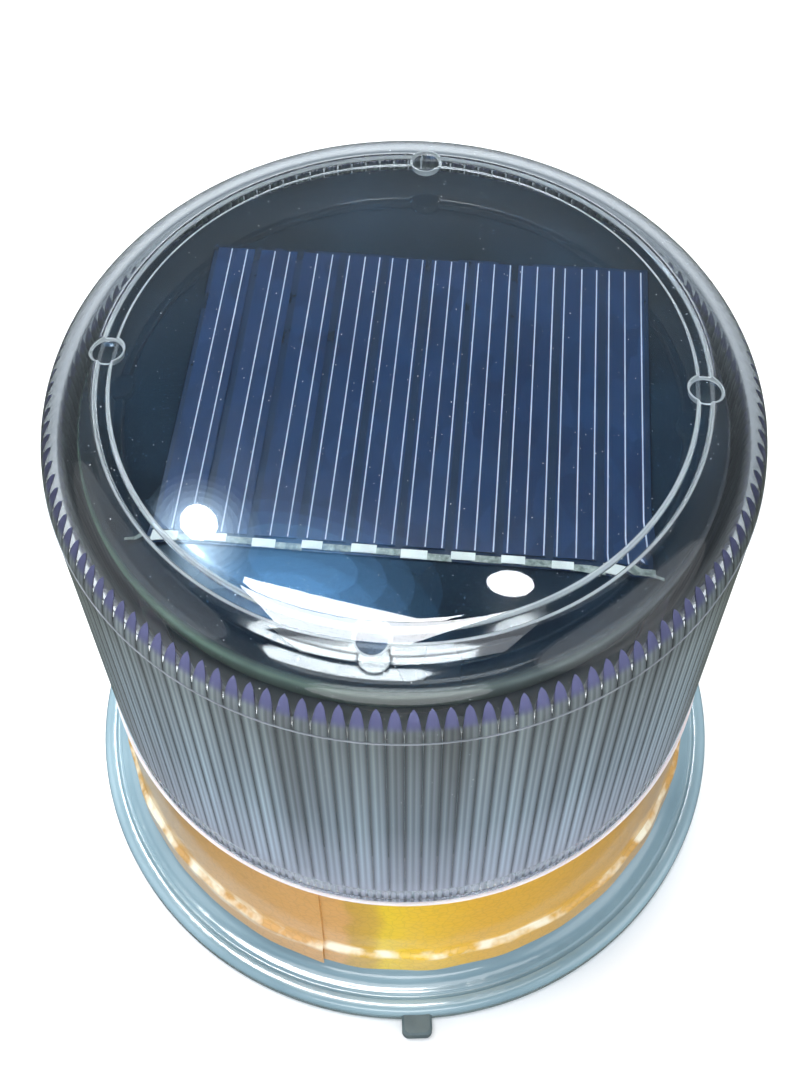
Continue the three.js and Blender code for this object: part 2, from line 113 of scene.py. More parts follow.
# Seal.
SEAL_INNER = 73.5
SEAL_BULGE = 0.62
SEAL_STAND = 0.4

# Base.
FLANGE_RADIUS = base_high.x
FLANGE_TOP = 6.5
FLANGE_EDGE = 2.5
FLANGE_FOOT_EDGE = 1.0
GROOVE_RADIUS = 86.0
GROOVE_HALF = 0.9
GROOVE_SIZE = 0.95
GROOVE_RISE = 0.35
WALL_FILLET = 5.0
WALL_FOOT_RADIUS = 79.5
WALL_TOP_RADIUS = 76.7
WALL_ROW = 30
BASE_TOP = base_high.z
BASE_WALL = 3
BASE_EDGE = 0.3
SEAT_RADIUS = 66
DECK_TOP = 60
DECK_UNDERSIDE = 56
DECK_HOLE = 6
FLOOR_TOP = 10.0
OPENING_RADIUS = 50.0
REBATE_RADIUS = 60.6
REBATE_DEPTH = 5.1
HOLE_GAP = 0.05
TURNED_SIDES = 256

# Mould lug.
LUG_TURN = 7.2
LUG_REACH = 95.5
LUG_HALF = 4.0
LUG_CORNER = 1.8
LUG_EMBED = 4
LUG_LEVELS = ((0.5, 0.05), (0, 0.5), (0, 4.4), (0.6, 5))  # Inset and height of each ring.

# Tray.
SPIGOT_DROP = 6.5
SPIGOT_INNER = 15
SPIGOT_OUTER = 18.6
SPIGOT_GAP = 0.02
TRAY_ROUNDING = 3.0
TRAY_FOOT_EDGE = 1
TRAY_FLAT_ROW = 40
TRAY_FALL_START = 54.0
TRAY_FALL = 1.0
TRAY_RIM_ANGLE = 79
POCKET_GAP = 0.3

# Cells and ribbons.
CELLS = 10
FINGER_HALF = 0.13
FINGER_HEIGHT = 0.06
FINGER_MARGIN = 0.2
TAB_START = 0.2
TAB_LENGTH = 4.2
TAB_LIFT = 0.1
TAB_THICKNESS = 0.2
LINK_OVERLAP = 0.6
LINK_REACH = 1.4
LINK_FRONT = 0.95
LINK_BACK = 0.45
LINK_THICKNESS = 0.16
END_THICKNESS = 0.14

# Tape.
TAPE_SEAM = -10.0
TAPE_OVERLAP = 9.0
TAPE_CREASE = 25.0
TAPE_THICKNESS = 0.35
TAPE_GAP = 0.25
TAPE_STEP = 1.3
TAPE_STEP_HALF = 0.9
TAPE_WRINKLE = 0.8
TAPE_WRINKLE_REACH = 5
TAPE_END_LIFT = 0.5
TAPE_END_RUN = TAPE_OVERLAP * 1.8
TAPE_DROOP = 1.6
TAPE_DROOP_RUN = 28
CREASE_LINE = TAPE_CREASE + 0.3
CREASE_REACH = 3
TAPE_COLUMNS = 480

# What a whole colour ramp spans: a height on the lens, a height on the ribs and the tray, and an angle.
LENS_SCALE = 200
INNER_SCALE = 160
TAPE_SPAN = 120


def place(radius, angle, z):
    """The point at a radius, an angle from the front and a height, in metres."""
    turn = math.radians(angle)
    return Vector((radius * math.sin(turn), -radius * math.cos(turn), z)) * MM


def arc(radius, z, size, start, end, steps):
    """Profile points on an arc, between two angles from the outward direction."""
    points = []
    for i in range(steps + 1):
        angle = math.radians(start + (end - start) * i / steps)
        points.append((radius + size * math.cos(angle), z + size * math.sin(angle)))
    return points


def wall_radius(z):
    """The outside of the base's wall."""
    foot = FLANGE_TOP + WALL_FILLET
    share = (z - foot) / (BASE_TOP - foot)
    return WALL_FOOT_RADIUS + share * (WALL_TOP_RADIUS - WALL_FOOT_RADIUS)


def lens_outer_radius(z):
    share = (z - LENS_BOTTOM) / (FILLET_Z - LENS_BOTTOM)
    return LENS_FOOT_RADIUS + share * (LENS_SHOULDER_RADIUS - LENS_FOOT_RADIUS)


def lens_inner_radius(z):
    """The smooth inside of the wall, and of the shoulder above it."""
    if z <= FILLET_Z:
        return lens_outer_radius(z) - LENS_WALL
    size = SHOULDER_FILLET - LENS_WALL
    return FILLET_MIDDLE + math.sqrt(max(size * size - (z - FILLET_Z) ** 2, 0))


# Meshes --------------------------------------------------------------------------------------------------

def ring_faces(rings, inside_out=False):
    """Four-cornered faces between rings of vertex numbers."""
    faces = []
    for lower, upper in zip(rings, rings[1:]):
        count = len(lower)
        for i in range(count):
            j = (i + 1) % count
            if inside_out:
                faces.append((lower[i], upper[i], upper[j], lower[j]))
            else:
                faces.append((lower[i], lower[j], upper[j], upper[i]))
    return faces


def lathe(profile, sides):
    """Vertices and faces of a profile turned round Z. A point on the axis becomes one vertex, and a profile
    that starts off the axis is closed."""
    vertices, rings = [], []
    for radius, z in profile:
        if radius < 1e-6:
            rings.append([len(vertices)])
            vertices.append(Vector((0, 0, z)) * MM)
        else:
            rings.append([len(vertices) + i for i in range(sides)])
            vertices += [place(radius, 360 * i / sides, z) for i in range(sides)]
    if len(rings[0]) > 1:
        rings.append(rings[0])
    faces = []
    for lower, upper in zip(rings, rings[1:]):
        if len(lower) == 1:
            faces += [(lower[0], upper[(i + 1) % sides], upper[i]) for i in range(sides)]
        elif len(upper) == 1:
            faces += [(lower[i], lower[(i + 1) % sides], upper[0]) for i in range(sides)]
        else:
            faces += ring_faces([lower, upper])
    return vertices, faces


def cuboid(low, high):
    """Vertices and faces of an upright box between two corners in millimetres."""
    corners = [Vector((x, y, z)) * MM for z in (low[2], high[2]) for y in (low[1], high[1])
               for x in (low[0], high[0])]
    faces = [(0, 2, 3, 1), (4, 5, 7, 6), (0, 1, 5, 4), (2, 6, 7, 3), (0, 4, 6, 2), (1, 3, 7, 5)]
    return corners, faces


def rounded_disc(radius, low, high, edge, x, y):
    """An upright disc whose top edge is rounded."""
    profile = [(0, low), (radius, low)]
    profile += arc(radius - edge, high - edge, edge, 0, 90, 5)
    profile.append((0, high))
    vertices, faces = lathe(profile, 48)
    return [v + Vector((x, y, 0)) * MM for v in vertices], faces


def joined(shapes):
    """One vertex and face list from several."""
    vertices, faces = [], []
    for some_vertices, some_faces in shapes:
        start = len(vertices)
        vertices += some_vertices
        faces += [tuple(start + i for i in face) for face in some_faces]
    return vertices, faces


def add_mesh(name, shape, sharp=SHARP):
    """An object whose faces are smooth, except across edges sharper than an angle."""
    mesh = bpy.data.meshes.new(name)
    mesh.from_pydata([tuple(v) for v in shape[0]], [], shape[1])
    mesh.validate()
    mesh.shade_smooth()
    mesh.set_sharp_from_angle(angle=math.radians(sharp))
    obj = bpy.data.objects.new(name, mesh)
    scene.collection.objects.link(obj)
    return obj


def settle(obj, material, replaces):
    """Gives a piece its material, its body and the CAD nodes it stands for."""
    obj.data.materials.clear()
    obj.data.materials.append(material)
    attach(obj, "light")
    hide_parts(*replaces)


def add_piece(name, shape, material, replaces=(), sharp=SHARP):
    settle(add_mesh(name, shape, sharp), material, replaces)


def carve(obj, tool, operation):
    """Applies one boolean and removes the tool."""
    modifier = obj.modifiers.new("boolean", "BOOLEAN")
    modifier.object = tool
    modifier.operation = operation
    modifier.solver = "EXACT"
    graph = bpy.context.evaluated_depsgraph_get()
    made = bpy.data.meshes.new_from_object(obj.evaluated_get(graph))
    obj.modifiers.clear()
    obj.data = made
    bpy.data.objects.remove(tool)
    obj.data.shade_smooth()
    obj.data.set_sharp_from_angle(angle=math.radians(SHARP))


# Material nodes ------------------------------------------------------------------------------------------

def new_material(name, color, roughness, **sockets):
    material = bpy.data.materials.new(name)
    material.use_nodes = True
    shader = material.node_tree.nodes["Principled BSDF"]
    shader.inputs["Base Color"].default_value = (*color, 1)
    shader.inputs["Roughness"].default_value = roughness
    for key, value in sockets.items():
        shader.inputs[key.replace("_", " ")].default_value = value
    return material


def link(material, output, socket):
    shader = material.node_tree.nodes["Principled BSDF"]
    material.node_tree.links.new(output, shader.inputs[socket])


def add_node(material, kind, **values):
    node = material.node_tree.nodes.new(kind)
    for key, value in values.items():
        setattr(node, key, value)
    return node


def position(material, scale):
    """Object coordinates in metres, times a scale."""
    coordinates = add_node(material, "ShaderNodeTexCoord")
    mapping = add_node(material, "ShaderNodeMapping")
    mapping.inputs["Scale"].default_value = scale
    material.node_tree.links.new(coordinates.outputs["Object"], mapping.inputs["Vector"])
    return mapping.outputs["Vector"]


def axes(material):
    """X, Y and Z in metres."""
    coordinates = add_node(material, "ShaderNodeTexCoord")
    split = add_node(material, "ShaderNodeSeparateXYZ")
    material.node_tree.links.new(coordinates.outputs["Object"], split.inputs["Vector"])
    return split.outputs["X"], split.outputs["Y"], split.outputs["Z"]


def noise(material, scale, detail=3.0, stretch=(1, 1, 1)):
    node = add_node(material, "ShaderNodeTexNoise")
    node.inputs["Scale"].default_value = scale
    node.inputs["Detail"].default_value = detail
    material.node_tree.links.new(position(material, stretch), node.inputs["Vector"])
    return node.outputs["Fac"]


def voronoi(material, scale, stretch=(1, 1, 1), feature="F1"):
    node = add_node(material, "ShaderNodeTexVoronoi", feature=feature)
    node.inputs["Scale"].default_value = scale
    material.node_tree.links.new(position(material, stretch), node.inputs["Vector"])
    return node.outputs


def grey(value):
    return (value, value, value)


def set_stops(node, stops):
    elements = node.color_ramp.elements
    while len(elements) < len(stops):
        elements.new(0.5)
    for element, (where, color) in zip(elements, stops):
        element.position = where
        element.color = (*color, 1)


def ramp(material, factor, stops):
    node = add_node(material, "ShaderNodeValToRGB")
    set_stops(node, stops)
    material.node_tree.links.new(factor, node.inputs["Fac"])
    return node.outputs["Color"]


def color_node(material, color):
    node = add_node(material, "ShaderNodeRGB")
    node.outputs[0].default_value = (*color, 1)
    return node.outputs[0]


def math_node(material, operation, first, second=0.0):
    node = add_node(material, "ShaderNodeMath", operation=operation)
    for socket, value in zip(node.inputs, (first, second)):
        if isinstance(value, (int, float)):
            socket.default_value = value
        else:
            material.node_tree.links.new(value, socket)
    return node.outputs["Value"]


def product(material, first, *others):
    for other in others:
        first = math_node(material, "MULTIPLY", first, other)
    return first


def distance_from(material, value, middle):
    """How far a value is from a number, on either side of it."""
    return math_node(material, "ABSOLUTE", math_node(material, "SUBTRACT", value, middle))


def hypotenuse(material, first, second):
    squares = [math_node(material, "POWER", side, 2.0) for side in (first, second)]
    return math_node(material, "SQRT", math_node(material, "ADD", *squares))


def wander(material, scale, detail, size):
    """Noise centred on nought, spread over a size."""
    return product(material, math_node(material, "SUBTRACT", noise(material, scale, detail), 0.5), size)


def mixed(material, factor, first, second, blend="MIX"):
    """A mix of two colour sockets by a factor, which is a socket or a number."""
    node = add_node(material, "ShaderNodeMix", data_type="RGBA", blend_type=blend)
    if isinstance(factor, bpy.types.NodeSocket):
        material.node_tree.links.new(factor, node.inputs["Factor"])
    else:
        node.inputs["Factor"].default_value = factor
    color_inputs = [socket for socket in node.inputs if socket.type == "RGBA"]
    for socket, value in zip(color_inputs, (first, second)):
        material.node_tree.links.new(value, socket)
    return next(socket for socket in node.outputs if socket.type == "RGBA")


def multiplied(material, first, *others):
    """One colour socket times others."""
    for other in others:
        first = mixed(material, 1.0, first, other, "MULTIPLY")
    return first


def bump(material, height, strength, distance):
    node = add_node(material, "ShaderNodeBump")
    node.inputs["Strength"].default_value = strength
    node.inputs["Distance"].default_value = distance
    material.node_tree.links.new(height, node.inputs["Height"])
    link(material, node.outputs["Normal"], "Normal")


def height_ramp(material, stops, scale):
    """A ramp up the part, with its stops in millimetres."""
    share = math_node(material, "DIVIDE", axes(material)[2], scale * MM)
    return ramp(material, share, [(z / scale, color) for z, color in stops])


def turn_angle(material):
    """Angle from the front towards +X, in radians."""
    x, y, _ = axes(material)
    return math_node(material, "ARCTAN2", x, math_node(material, "MULTIPLY", y, -1.0))


def turn_share(material, span=360):
    """The angle as a share of a span in degrees, whose middle is the front."""
    turns = math_node(material, "MULTIPLY", turn_angle(material), 180 / math.pi / span)
    return math_node(material, "ADD", turns, 0.5)


def turn_ramp(material, share, stops, span=360):
    """A ramp round the part, with its stops in degrees from the front."""
    return ramp(material, share, [(degrees / span + 0.5, color) for degrees, color in stops])


def axis_distance(material):
    """Distance from the middle axis, in metres."""
    x, y, _ = axes(material)
    return hypotenuse(material, x, y)


def pad_distance(material):
    """Distance in millimetres, seen from above, from the middle of the nearest of the four pads."""
    x, y = (math_node(material, "ABSOLUTE", math_node(material, "DIVIDE", side, MM))
            for side in axes(material)[:2])
    outward = math_node(material, "SUBTRACT", math_node(material, "MAXIMUM", x, y), BEAD_RADIUS)
    return hypotenuse(material, outward, math_node(material, "MINIMUM", x, y))


# Materials -----------------------------------------------------------------------------------------------

# CLEAR is the lens's own tint; SHADED is the painted shade on its shoulder.
CLEAR = (0.80, 0.845, 0.865)
SHADED = (0.19, 0.215, 0.235)


def painted_bead_highlights(material):
    """Painted highlight where light catches the two edges of the bead."""
    radius = math_node(material, "DIVIDE", axis_distance(material), MM)
    from_middle = distance_from(material, radius, BEAD_RADIUS)
    from_edge = distance_from(material, from_middle, BEAD_WIDTH / 2)
    edge = ramp(material, from_edge, [(0.25, grey(0.72)), (0.50, grey(0))])
    low = height_ramp(material, [(161.6, grey(0)), (161.8, grey(1)), (163.2, grey(1)), (164.4, grey(0))],
                      LENS_SCALE)
    return product(material, edge, low)


def painted_pad_highlights(material):
    """Painted highlight where light catches the walls of the pads."""
    from_wall = distance_from(material, pad_distance(material), PAD_RADIUS)
    wall = ramp(material, from_wall, [(0.20, grey(0.7)), (0.45, grey(0))])
    low = height_ramp(material, [(163.2, grey(1)), (164.4, grey(0))], LENS_SCALE)
    return product(material, wall, low)


def shoulder_shade(material):
    """How much painted shade the shoulder has: most at the sides and the back."""
    radius = math_node(material, "DIVIDE", axis_distance(material), 100 * MM)
    outer = ramp(material, radius, [(0.62, grey(0)), (0.72, grey(1))])
    upper = height_ramp(material, [(138, grey(0)), (148, grey(1))], LENS_SCALE)
    turn = math_node(material, "ABSOLUTE", math_node(material, "DIVIDE", turn_angle(material), math.pi))
    away = ramp(material, turn, [(0.18, grey(0.15)), (0.42, grey(1))])
    return product(material, outer, upper, away)


def clear_lens_material():
    """Clear polycarbonate with a few specks of dust, painted highlights on the bead and pad edges and
    painted shade on the shoulder.
    """
    material = new_material("clear_polycarbonate", CLEAR, 0.015, Transmission_Weight=1.0, IOR=1.4)
    clean = ramp(material, noise(material, 1900, 1), [(0.79, grey(1)), (0.81, grey(0))])
    # Painted highlights: the bead and pad edges let less light through and show the lens's tint.
    painted_edge_highlights = math_node(material, "MAXIMUM", painted_bead_highlights(material), painted_pad_highlights(material))
    link(material, math_node(material, "SUBTRACT", clean, painted_edge_highlights), "Transmission Weight")
    # Painted shade: the tint darkens towards SHADED on the shoulder.
    shoulder_painted_shade = ramp(material, shoulder_shade(material), [(0.0, CLEAR), (1.0, SHADED)])
    link(material, shoulder_painted_shade, "Base Color")
    return material


def rib_body(material, across):
    """Two painted lines of refracted light a rib, uneven from rib to rib, and painted light that changes
    slowly up and round the lens: brighter low down and towards the left and right.
    """
    valley = (0.065, 0.07, 0.08)
    # Painted light: the stripes stand in for light refracted through each rib.
    painted_light_stripes = ramp(material, across, [
        (0.0, valley), (0.09, (0.11, 0.12, 0.13)), (0.20, (0.21, 0.23, 0.25)), (0.34, (0.33, 0.36, 0.37)),
        (0.46, (0.20, 0.22, 0.24)), (0.55, (0.17, 0.185, 0.20)), (0.66, (0.29, 0.31, 0.33)),
        (0.80, (0.22, 0.24, 0.26)), (0.92, (0.13, 0.14, 0.155)), (1.0, valley)])
    uneven = ramp(material, noise(material, 90, 2, (1, 1, 0.03)), [
        (0.36, (0.68, 0.66, 0.65)), (0.5, grey(0.95)), (0.64, (1.28, 1.3, 1.28))])
    # Painted light: the ribs are brighter low down.
    shade = height_ramp(material, [
        (72, (1.9, 2.05, 2.25)), (112, (1.5, 1.6, 1.7)), (148.8, (1.15, 1.15, 1.10))], INNER_SCALE)
    # Painted light: the ribs are brighter towards the left and the right.
    side = turn_ramp(material, turn_share(material), [
        (-108, grey(1.0)), (-50.4, grey(1.7)), (-7.2, grey(1.0)), (18, grey(1.0)), (57.6, grey(1.3)),
        (108, grey(1.1))])
    return multiplied(material, painted_light_stripes, uneven, shade, side)


def rib_material():
    """Ribs with painted stripes of refracted light, which turn pale at the foot and lavender at the tips."""
    material = new_material("ribbed_polycarbonate", (0.2, 0.2, 0.24), 0.5)
    ribs = math_node(material, "MULTIPLY", turn_angle(material), RIBS / (2 * math.pi))
    across = math_node(material, "FRACT", math_node(material, "ADD", ribs, RIBS))
    foot = height_ramp(material, [(67.2, grey(0.95)), (75.2, grey(0.5)), (105.6, grey(0))], INNER_SCALE)
    pale_valley, pale_crest = (0.36, 0.37, 0.46), (0.82, 0.82, 0.96)
    pale = ramp(material, across, [
        (0.0, pale_valley), (0.25, pale_crest), (0.5, (0.60, 0.61, 0.73)), (0.75, pale_crest),
        (1.0, pale_valley)])
    tips = height_ramp(material, [(151.2, grey(0)), (152.8, grey(1))], INNER_SCALE)
    dark_edge, lavender_middle = (0.09, 0.09, 0.19), (0.20, 0.195, 0.40)
    lavender = ramp(material, across, [
        (0.0, dark_edge), (0.3, lavender_middle), (0.7, lavender_middle), (1.0, dark_edge)])
    body = mixed(material, foot, rib_body(material, across), pale)
    link(material, mixed(material, tips, body, lavender), "Base Color")
    bump(material, noise(material, 700, 2), 0.1, 0.0003)
    return material


def scallop_material():
    material = new_material("frosted_foot", (0.55, 0.55, 0.68), 0.4, Subsurface_Weight=0.1)
    tone = ramp(material, noise(material, 90), [(0.3, (0.74, 0.73, 0.86)), (0.7, (0.90, 0.88, 0.97))])
    link(material, tone, "Base Color")
    return material


def housing_material():
    """Grey-blue gloss that drifts in tone and in roughness."""
    material = new_material("base_plastic", (0.30, 0.46, 0.54), 0.2, Coat_Weight=1.0, Coat_Roughness=0.08)
    tone = ramp(material, noise(material, 22), [(0.3, (0.20, 0.31, 0.365)), (0.7, (0.31, 0.44, 0.50))])
    link(material, tone, "Base Color")
    rough = ramp(material, noise(material, 60, 4), [(0.3, grey(0.14)), (0.8, grey(0.30))])
    link(material, rough, "Roughness")
    bump(material, noise(material, 110, 2), 0.6, 0.0008)
    return material


def painted_crease_highlight(material, turn):
    """A painted highlight along the crease, wider at the left and broken in places."""
    height = math_node(material, "ADD", axes(material)[2], wander(material, 40, 2, 0.0012))
    off = distance_from(material, height, CREASE_LINE * MM)
    spread = turn_ramp(material, turn, [(-24, grey(0.45)), (-1.2, grey(1))], TAPE_SPAN)
    near = product(material, math_node(material, "DIVIDE", off, CREASE_REACH * MM), spread)
    line = ramp(material, near, [(0.18, grey(1)), (0.75, grey(0))])
    # Gaps where the painted highlight along the crease breaks off.
    highlight_gaps = ramp(material, noise(material, 130), [(0.44, grey(0.08)), (0.62, grey(1))])
    return multiplied(material, line, highlight_gaps)


def tape_material():
    """Orange-yellow sheeting with a fine cell pattern. Painted light makes its front the brightest yellow
    and its sides darker orange.
    """
    material = new_material("reflective_sheeting", (0.85, 0.45, 0.05), 0.30,
                            Coat_Weight=0.5, Coat_Roughness=0.1)
    turn = math_node(material, "ADD", turn_share(material, TAPE_SPAN), wander(material, 60, 3, 0.05))
    # Painted light: the front is the brightest yellow and the sides darker orange.
    color = turn_ramp(material, turn, [
        (-60, (0.50, 0.27, 0.05)), (-12, (0.70, 0.36, 0.10)), (-6.6, (0.72, 0.37, 0.10)),
        (-4.8, (0.60, 0.34, 0.04)), (-0.6, (0.66, 0.40, 0.03)), (1.8, (0.84, 0.58, 0.003)),
        (7.2, (0.84, 0.52, 0.008)), (19.2, (0.76, 0.41, 0.018)), (60, (0.60, 0.30, 0.04))], TAPE_SPAN)
    cells = voronoi(material, 420, feature="DISTANCE_TO_EDGE")["Distance"]
    edges = ramp(material, cells, [(0.0, grey(0.86)), (0.10, grey(1.0))])
    # The colour of the painted highlight along the crease.
    crease_highlight_color = color_node(material, (0.94, 0.86, 0.66))
    sheet = multiplied(material, color, edges)
    link(material, mixed(material, painted_crease_highlight(material, turn), sheet, crease_highlight_color), "Base Color")
    bump(material, noise(material, 45), 0.35, 0.0014)
    return material


def tray_material():
    """Near-black gloss with a little dust, and painted light that makes it paler down the side, greener at
    the left.
    """
    material = new_material("tray_gloss", (0.005, 0.009, 0.014), 0.06, Coat_Weight=0.8, Coat_Roughness=0.03)
    top = ramp(material, noise(material, 45), [(0.35, (0.006, 0.012, 0.020)), (0.7, (0.012, 0.028, 0.050))])
    # Painted light: the side below the rim is paler, greener at the left.
    side = turn_ramp(material, turn_share(material), [
        (-54, (0.42, 0.66, 0.46)), (7.2, (0.32, 0.42, 0.34)), (54, (0.45, 0.47, 0.47))])
    rim = height_ramp(material, [(153.6, grey(0)), (154.88, grey(1))], INNER_SCALE)
    # finish mixes the painted light down the side with the near-black top.
    finish = mixed(material, rim, side, top)
    dust = ramp(material, noise(material, 2200, 1), [(0.74, grey(0)), (0.80, grey(1))])
    link(material, mixed(material, dust, finish, color_node(material, (0.10, 0.16, 0.24))), "Base Color")
    rough = ramp(material, noise(material, 90, 1), [(0.35, grey(0.05)), (0.75, grey(0.10))])
    link(material, rough, "Roughness")
    return material


def cell_material():
    """Blue silicon with a faint grain of crystals and a slow drift of tone."""
    material = new_material("silicon_cell", (0.03, 0.06, 0.2), 0.22, Coat_Weight=0.7, Coat_Roughness=0.05)
    crystals = voronoi(material, 260, (1, 0.5, 1))["Color"]
    tone = ramp(material, crystals, [(0.1, (0.004, 0.022, 0.082)), (0.9, (0.009, 0.036, 0.115))])
    drift = ramp(material, noise(material, 28, 2), [
        (0.32, (0.62, 0.66, 0.74)), (0.48, (0.95, 1.0, 1.0)), (0.60, (1.5, 1.0, 0.95)),
        (0.70, (0.95, 1.25, 1.2))])
    link(material, multiplied(material, tone, drift), "Base Color")
    return material


def simple_material(name, low, high, roughness, scale=120, relief=0.1, **sockets):
    """A finish whose colour drifts a little between two tones, with a fine relief."""
    material = new_material(name, high, roughness, **sockets)
    link(material, ramp(material, noise(material, scale), [(0.3, low), (0.7, high)]), "Base Color")
    bump(material, noise(material, scale * 6, 2), relief, 0.0002)
    return material


materials = {
    "clear_lens": clear_lens_material(),
    "ribs": rib_material(),
    "scallops": scallop_material(),
    "housing": housing_material(),
    "reflective_tape": tape_material(),
    "tray": tray_material(),
    "solar_cell": cell_material(),
    "silicone": simple_material("silicone", (0.80, 0.70, 0.69), (0.90, 0.82, 0.81), 0.4,
                                Subsurface_Weight=0.2),
    # Painted shade: the lug is the housing's plastic, painted darker.
    "lug": simple_material("lug_plastic_painted_shade", (0.06, 0.09, 0.10), (0.11, 0.15, 0.16), 0.55, relief=0.3),
    # Painted highlight: the seam is real, and its grey stands in for the thin line of light along it.
    "parting": simple_material("parting_line_highlight", (0.22, 0.24, 0.26), (0.34, 0.36, 0.40), 0.4),
    "cover": simple_material("cover_plastic", (0.26, 0.31, 0.34), (0.30, 0.35, 0.38), 0.45, relief=0.3),
    "rubber": simple_material("black_rubber", (0.020, 0.021, 0.022), (0.035, 0.035, 0.038), 0.6, relief=0.3),
    "panel_board": simple_material("laminate", (0.006, 0.018, 0.050), (0.010, 0.027, 0.072), 0.2,
                                   Coat_Weight=0.6),
    "finger": simple_material("silver_paste", (0.42, 0.50, 0.64), (0.60, 0.68, 0.80), 0.4),
    "ribbon": simple_material("tinned_ribbon", (0.72, 0.76, 0.72), (0.92, 0.95, 0.92), 0.35, scale=260,
                              relief=0.5, Metallic=0.1),
    "dull_ribbon": simple_material("dull_ribbon", (0.10, 0.13, 0.12), (0.45, 0.50, 0.46), 0.35, scale=900,
                                   relief=0.6, Metallic=0.4),
    "tower": simple_material("tower_plastic", (0.66, 0.72, 0.62), (0.76, 0.80, 0.70), 0.4),
    "led_board": simple_material("white_mask", (0.80, 0.80, 0.77), (0.88, 0.88, 0.85), 0.35),
    "led": simple_material("amber_dome", (0.75, 0.50, 0.08), (0.85, 0.62, 0.14), 0.1,
                           Transmission_Weight=0.5),
    "circuit": simple_material("green_mask", (0.02, 0.14, 0.05), (0.03, 0.20, 0.08), 0.3),
    "holder": simple_material("black_plastic", (0.025, 0.027, 0.028), (0.04, 0.042, 0.045), 0.5),
    "battery": simple_material("battery_sleeve", (0.04, 0.14, 0.36), (0.06, 0.19, 0.44), 0.3),
    "button": simple_material("red_plastic", (0.42, 0.03, 0.02), (0.52, 0.05, 0.03), 0.4),
    "steel": simple_material("stainless_steel", (0.50, 0.50, 0.50), (0.66, 0.66, 0.66), 0.3, Metallic=1.0),
    "brass": simple_material("turned_brass", (0.55, 0.38, 0.14), (0.70, 0.50, 0.20), 0.3, Metallic=1.0),
    "wire": simple_material("lead_insulation", (0.35, 0.02, 0.02), (0.45, 0.03, 0.03), 0.4),
}
for row in frame["record"]["subparts"]:
    node = frame["nodes"][row["node"]]
    node.data.materials.clear()
    node.data.materials.append(materials[row["material_slot"]])


# Lens ----------------------------------------------------------------------------------------------------

def lens_outside():
    """The profile of the outside, from the foot to the middle of the top."""
    points = [(LENS_FOOT_RADIUS - LENS_EDGE, LENS_BOTTOM), (LENS_FOOT_RADIUS, LENS_BOTTOM + LENS_EDGE)]
    points += [(lens_outer_radius(z), z) for z in (*LENS_WALL_ROWS, PARTING_Z - 3.0)]
    points += arc(FILLET_MIDDLE, FILLET_Z, SHOULDER_FILLET, 0, 90, 22)
    return points + [(LENS_FLAT_ROW, LENS_TOP), (0, LENS_TOP)]


def lens_inside():
    """The profile of the inside, from the middle of the top to the foot, with the bead on the way."""
    half = BEAD_WIDTH / 2
    points = [(r, LENS_CEILING) for r in (0, LENS_FLAT_ROW, BEAD_RADIUS - half - 0.6)]
    points += [(BEAD_RADIUS + half * across, LENS_CEILING - BEAD_HEIGHT * depth)
               for across, depth in ((-1, 0), (-0.72, 0.85), (-0.6, 1), (0.6, 1), (0.72, 0.85), (1, 0))]
    points += arc(FILLET_MIDDLE, FILLET_Z, SHOULDER_FILLET - LENS_WALL, 74, 0, 16)
    points += [(lens_outer_radius(z) - LENS_WALL, z)
               for z in (*reversed(LENS_WALL_ROWS), LENS_BOTTOM + LENS_INNER_EDGE)]
    return points + [(lens_outer_radius(LENS_BOTTOM) - LENS_WALL + LENS_INNER_EDGE, LENS_BOTTOM)]


def add_lens():
    shell = add_mesh("lens_shell", lathe(lens_inside() + lens_outside(), LENS_SIDES))
    for i in range(4):
        spot = place(BEAD_RADIUS, 90 * i, 0) / MM
        vertices, faces = rounded_disc(PAD_RADIUS, -1, PAD_HEIGHT, PAD_EDGE, spot.x, spot.y)
        hung = [Vector((v.x, -v.y + 2 * spot.y * MM, LENS_CEILING * MM - v.z)) for v in vertices]
        carve(shell, add_mesh("pad", (hung, faces)), "UNION")
    settle(shell, materials["clear_lens"], ["lens"])


def add_parting_line():
    inner = lens_outer_radius(PARTING_Z) - PARTING_EMBED
    low, high = PARTING_Z - PARTING_HALF, PARTING_Z + PARTING_HALF
    profile = [(inner, low), (PARTING_REACH, low), (PARTING_REACH, high), (inner, high)]
    # The ring's opaque grey is a painted highlight of the parting line.
    add_piece("lens_parting_line", lathe(profile, LENS_SIDES), materials["parting"], ["lens"])


def add_lens_foot():
    """The flange under the ribs, with a row of small round-topped scallops round its outside."""
    outer = lens_outer_radius(LENS_BOTTOM + 3) - LENS_WALL + EMBED
    columns, rows = 8, 10
    heights = [LENS_BOTTOM + (LENS_FLANGE_HEIGHT + 0.4) * j / rows for j in range(rows + 1)]
    sides = SCALLOPS * columns
    vertices = []
    for j, z in enumerate(heights):
        share = j / rows
        arch = max(0, (share - SCALLOP_ARCH_START) / SCALLOP_ARCH)
        reach = SCALLOP_HALF * math.sqrt(max(1 - arch ** 2, 0))
        for i in range(sides):
            across = abs((i % columns) / columns - 0.5)
            crest = math.sqrt(1 - (across / reach) ** 2) if across < reach else 0.0
            vertices.append(place(outer - SCALLOP_RELIEF * (1 - crest), 360 * i / sides, z))
    for z in (heights[-1], heights[0]):
        vertices += [place(LENS_FLANGE_INNER, 360 * i / sides, z) for i in range(sides)]
    rings = [[j * sides + i for i in range(sides)] for j in range(len(heights) + 2)]
    add_piece("lens_foot", (vertices, ring_faces(rings + rings[:1])), materials["scallops"],
              ["lens"], sharp=60)


